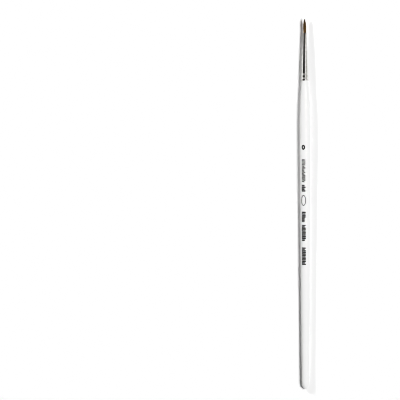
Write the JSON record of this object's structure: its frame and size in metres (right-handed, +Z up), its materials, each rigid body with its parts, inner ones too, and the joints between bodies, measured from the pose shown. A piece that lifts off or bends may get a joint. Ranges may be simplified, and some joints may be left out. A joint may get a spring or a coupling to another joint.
{
  "type": "fine detail brush",
  "caption": "Slim round detail paintbrush: a pointed hair tuft in a crimped plated ferrule on a long tapered lacquered handle. The free hair bends sideways and springs back.",
  "frame": {"origin": "under the middle of the brush's length, on the surface that it rests on", "axes": "+Y along the brush from the butt to the hair's tip, +Z up from the surface, +X across"},
  "size_m": [0.005, 0.185, 0.0051],
  "materials": {
    "lacquered_wood": "turned hardwood under gloss white lacquer",
    "nickel_plate": "bright nickel plate on drawn brass",
    "glue": "set handle glue, cream",
    "cement": "set amber root cement",
    "root_hair": "bound natural hair",
    "thread": "waxed thread",
    "ink": "black pad-printed ink on the handle",
    "hair": "soft brown natural hair with a light sheen"
  },
  "bodies": {
    "brush_body": {"handle": "lacquered_wood", "ferrule": "nickel_plate", "handle_glue": "glue", "root_cement": "cement", "hair_roots": "root_hair", "binding_thread": "thread"},
    "free_hair": {"hair_tuft": "hair"}
  },
  "joints": [
    {"name": "tuft_bend", "type": "hinge", "parent": "brush_body", "child": "free_hair", "pos_m": [0, 0.08638, 0.00284], "axis": [0, 0, 1], "range_deg": [-35, 35], "stiffness_Nm_per_rad": 0.00047}
  ]
}
